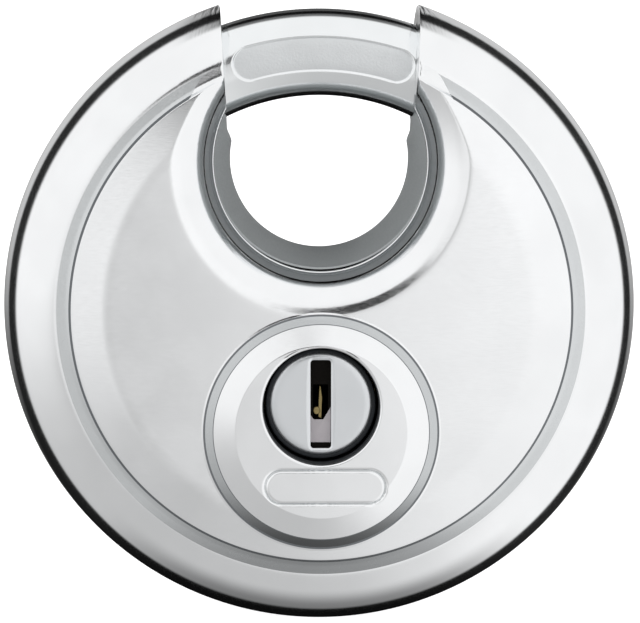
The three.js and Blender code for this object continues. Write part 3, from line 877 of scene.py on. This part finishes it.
def build_cap():
    """The domed cap that turns with the plug, its slot's edge bevelled."""
    quarter = 60
    slot = rounded_slot(SLOT_HALF, SLOT_HALF_HEIGHT, SLOT_CORNER, quarter)
    wide = [size + SLOT_BEVEL for size in (SLOT_HALF, SLOT_HALF_HEIGHT, SLOT_CORNER)]
    bevel = rounded_slot(*wide, quarter)
    turn = np.linspace(0, 2 * math.pi, len(slot), endpoint=False)
    circle = np.stack([np.sin(turn), np.cos(turn)], axis=1)

    def dome(points):
        across = np.clip((np.hypot(*points.T) - CAP_FLAT_R) / (CAP_R - CAP_FLAT_R), 0, 1)
        return CAP_FRONT - CAP_EDGE * (1 - np.sqrt(1 - across**3))

    rings = [(slot, CAP_BACK), (slot, CAP_BACK + 0.0008), (slot, CAP_FRONT - 0.00009)]
    rings.append((slot * 0.5 + bevel * 0.5, dome(bevel) - 0.00004))
    rings.append((bevel, dome(bevel)))
    out_to_edge = (0.06, 0.15, 0.3, 0.45, 0.6, 0.7, 0.78, 0.84, 0.88, 0.92, 0.95, 0.97, 0.985)
    for t in (*out_to_edge, 0.995, 1.0):
        ring = bevel * (1 - t) + circle * CAP_R * t
        rings.append((ring, dome(ring)))
    rings.append((circle * CAP_R, CAP_BACK))
    section = []
    for ring, depth in rings:
        depth = np.broadcast_to(depth, len(ring))
        section.append(place(ring[:, 0], ring[:, 1] + PLUG_Z, depth, FRONT))
    cap = loft("cap", np.stack(section, axis=1), cap_look, ring=True, sharp_angle=32)
    ride_for(cap, "plug", "chromed_steel", "keyway_cover")


def extruded(name, outline, low, high, look, bevel):
    """A plate with an outline of (x, z) corners from the plug's axis, between two depths."""
    x, z = np.array(outline).T
    rows = [place(x, z + PLUG_Z, np.full_like(x, depth), FRONT) for depth in (low, high)]
    return round_edges(loft(name, np.stack(rows), look, ring=False), bevel)


def build_keyway_parts():
    """What shows through the cap's slot: a ward, the head of a pin, and the shutter below."""
    head = []
    for turn in np.linspace(0, 2 * math.pi, 24, endpoint=False):
        x = PIN_HEAD_X + PIN_HEAD_HALF_WIDTH * math.sin(turn)
        z = PIN_HEAD_Z + PIN_HEAD_HALF_HEIGHT * math.cos(turn)
        head.append((x, z))
    # Painted shade: the ward and the pin's head in brass darkened as if in shadow.
    ward = extruded("keyway_ward", WARD_OUTLINE, WARD_BACK, WARD_FRONT, brass_painted_shade, 0.00008)
    pin_head = extruded(
        "keyway_pin_head", head, WARD_BACK, WARD_FRONT + 0.0001, brass_painted_shade, 0.00012
    )
    shutter_back, shutter_front = PLUG_FRONT + SHUTTER_GAP, CAP_BACK - SHUTTER_GAP
    shutter = extruded(
        "keyway_shutter", SHUTTER_OUTLINE, shutter_back, shutter_front, shutter_look, 0.00004
    )
    ride_for(ward, "plug", "brass")
    ride_for(pin_head, "plug", "brass")
    ride_for(shutter, "plug", "spring_steel")


def build_hole_ring():
    """The hardened washer behind the key hole, with a thin flange close round the cap, painted
    near black as the shade inside the hole.
    """
    inside, outside = HOLE_R - 0.0001, guard_high.x
    wider = inside + WASHER_BACK_WIDER
    edge = 0.0002
    profile = [
        (outside, WASHER_BACK),
        (wider, WASHER_BACK),
        (wider, FLANGE_BACK),
        (FLANGE_R, FLANGE_BACK),
        (FLANGE_R, FLANGE_FRONT),
        (inside, FLANGE_FRONT + edge),
        (inside, GUARD_FRONT - edge),
        (inside + edge * 0.3, GUARD_FRONT - edge * 0.3),
        (inside + edge, GUARD_FRONT),
        (outside - edge, GUARD_FRONT),
        (outside, GUARD_FRONT - edge),
    ]
    ring = turned("guard_ring", profile, hole_painted_shade, PLUG_Z)
    ride_for(ring, "body", "matt_steel", "drill_guard")


# ---- Floor, light and camera ----

def toward(left, above):
    """The direction so many degrees to the left of straight ahead and above it."""
    azimuth, elevation = math.radians(left), math.radians(above)
    level = math.cos(elevation)
    return Vector((-math.sin(azimuth) * level, -math.cos(azimuth) * level, math.sin(elevation)))


def mix(graph, factor, low, high):
    inputs = {"Factor": factor, "A": low, "B": high}
    return graph.node("ShaderNodeMix", inputs, data_type="FLOAT").outputs[0]


def build_floor():
    reach = 7.0
    level = cad_box[0][2]
    corners = [
        (-reach, -reach, level),
        (reach, -reach, level),
        (reach, reach, level),
        (-reach, reach, level),
    ]
    look = bpy.data.materials.new("floor")
    look.use_nodes = True
    graph = Graph(look.node_tree)
    inputs = {
        "Base Color": (0.9, 0.9, 0.9, 1),
        "Roughness": 0.9,
        "Emission Color": (1, 1, 1, 1),
        "Emission Strength": 0.75,
    }
    shader = graph.node("ShaderNodeBsdfPrincipled", inputs)
    graph.node("ShaderNodeOutputMaterial", {"Surface": shader.outputs[0]})
    floor = mesh_object("floor", corners, [(0, 1, 2, 3)], look)
    floor.visible_glossy = False


def dark_band(graph, angle, up, z):
    """White in front, a dark band from 124 to 146 degrees off straight ahead, and pale
    behind that, high up. Near the top, the dark begins sooner."""
    dark_from, dark_to = math.radians(124), math.radians(146)
    into_dark = graph.range(angle, dark_from - 0.07, dark_from + 0.05, 1.0, 0.02)
    past_dark = graph.range(angle, dark_to - 0.03, dark_to + 0.03, 0.0, 0.62)
    behind = graph.math("MULTIPLY", past_dark, graph.range(z, -0.35, 0.15))
    band = graph.math("MAXIMUM", into_dark, behind)
    near_top = graph.range(up, 0.85, 0.97)
    top_dark = graph.range(angle, math.radians(102), math.radians(112), 1.0, 0.15)
    return graph.math("MULTIPLY", band, mix(graph, near_top, 1.0, top_dark))


def surround(graph, angle, up, right):
    """Grey below, and most of all below on the left."""
    high = graph.math("MULTIPLY", up, 0.85)
    lean = graph.math("ADD", high, graph.math("MULTIPLY", right, 0.4))
    tone = graph.range(lean, -0.9, -0.4, 0.56, 0.99)
    deeper = graph.range(angle, math.radians(62), math.radians(116), 1.0, 0.35)
    not_below = graph.range(up, -0.98, -0.72)
    return graph.math("MULTIPLY", tone, mix(graph, not_below, deeper, 1.0))


def straight_ahead(graph, x, z):
    """What the flat faces mirror: brighter to the right, and again well to the left."""
    sideways = graph.range(x, -0.045, 0.08, 0.61, 1.04)
    far_left = graph.range(x, -0.10, -0.05, 0.34, 0.0)
    far_left = graph.math("MULTIPLY", far_left, graph.range(z, -0.19, -0.11))
    upright = graph.range(z, -0.16, -0.05, 0.90, 1.0)
    return graph.math("MULTIPLY", graph.math("ADD", sideways, far_left), upright)


def photographer(graph, direction):
    """The dark shape of whoever holds the camera, beside and above the lens."""
    toward_shape = graph.node(
        "ShaderNodeVectorMath", {0: direction, 1: toward(2.3, 7.6)}, operation="DOT_PRODUCT"
    )
    away = graph.math("ARCCOSINE", toward_shape.outputs["Value"])
    return graph.range(away, math.radians(4.9), math.radians(6.0), 0.03, 1.0)


def build_studio_light():
    """A soft tent of light round the padlock, plain white to the camera itself."""
    world = bpy.data.worlds.new("studio")
    bpy.context.scene.world = world
    world.use_nodes = True
    graph = Graph(world.node_tree)
    direction = graph.node("ShaderNodeTexCoord").outputs["Generated"]
    x, y, z = graph.node("ShaderNodeSeparateXYZ", {"Vector": direction}).outputs
    facing = graph.math("MULTIPLY", y, -1.0)  # 1 in front of the padlock, -1 behind it
    angle = graph.math("ARCCOSINE", facing)
    squared = graph.math("SUBTRACT", 1.0, graph.math("POWER", facing, 2.0))
    outward = graph.math("MAXIMUM", graph.math("SQRT", squared), 0.001)
    up = graph.math("DIVIDE", z, outward)
    right = graph.math("DIVIDE", x, outward)

    to_side = graph.range(angle, math.radians(8), math.radians(20))
    around = surround(graph, angle, up, right)
    ahead = mix(graph, to_side, straight_ahead(graph, x, z), around)
    strength = graph.math("MULTIPLY", dark_band(graph, angle, up, z), ahead)
    strength = graph.math("MULTIPLY", strength, photographer(graph, direction))
    camera_ray = graph.node("ShaderNodeLightPath").outputs["Is Camera Ray"]
    strength = graph.math("MAXIMUM", strength, camera_ray)
    back = graph.node("ShaderNodeBackground", {"Color": (1, 1, 1, 1), "Strength": strength})
    graph.node("ShaderNodeOutputWorld", {"Surface": back.outputs[0]})


def build_camera():
    target = Vector((AIM_X, 0, AXIS_Z - AIM_BELOW_AXIS))
    back = toward(CAMERA_LEFT, CAMERA_ABOVE)
    data = bpy.data.cameras.new("camera")
    data.lens = CAMERA_LENS_MM
    data.sensor_width = 36
    data.clip_start = 0.01
    data.clip_end = 50
    camera = bpy.data.objects.new("camera", data)
    bpy.context.scene.collection.objects.link(camera)
    camera.location = target + back * CAMERA_DISTANCE
    camera.rotation_euler = back.to_track_quat("Z", "Y").to_euler()
    bpy.context.scene.camera = camera


dress_cad_nodes()
build_camera()
build_floor()
build_studio_light()
build_shells()
build_rim_weld()
build_liner()
build_shackle()
build_cap()
build_keyway_parts()
build_hole_ring()
bpy.context.scene.view_settings.view_transform = "Standard"
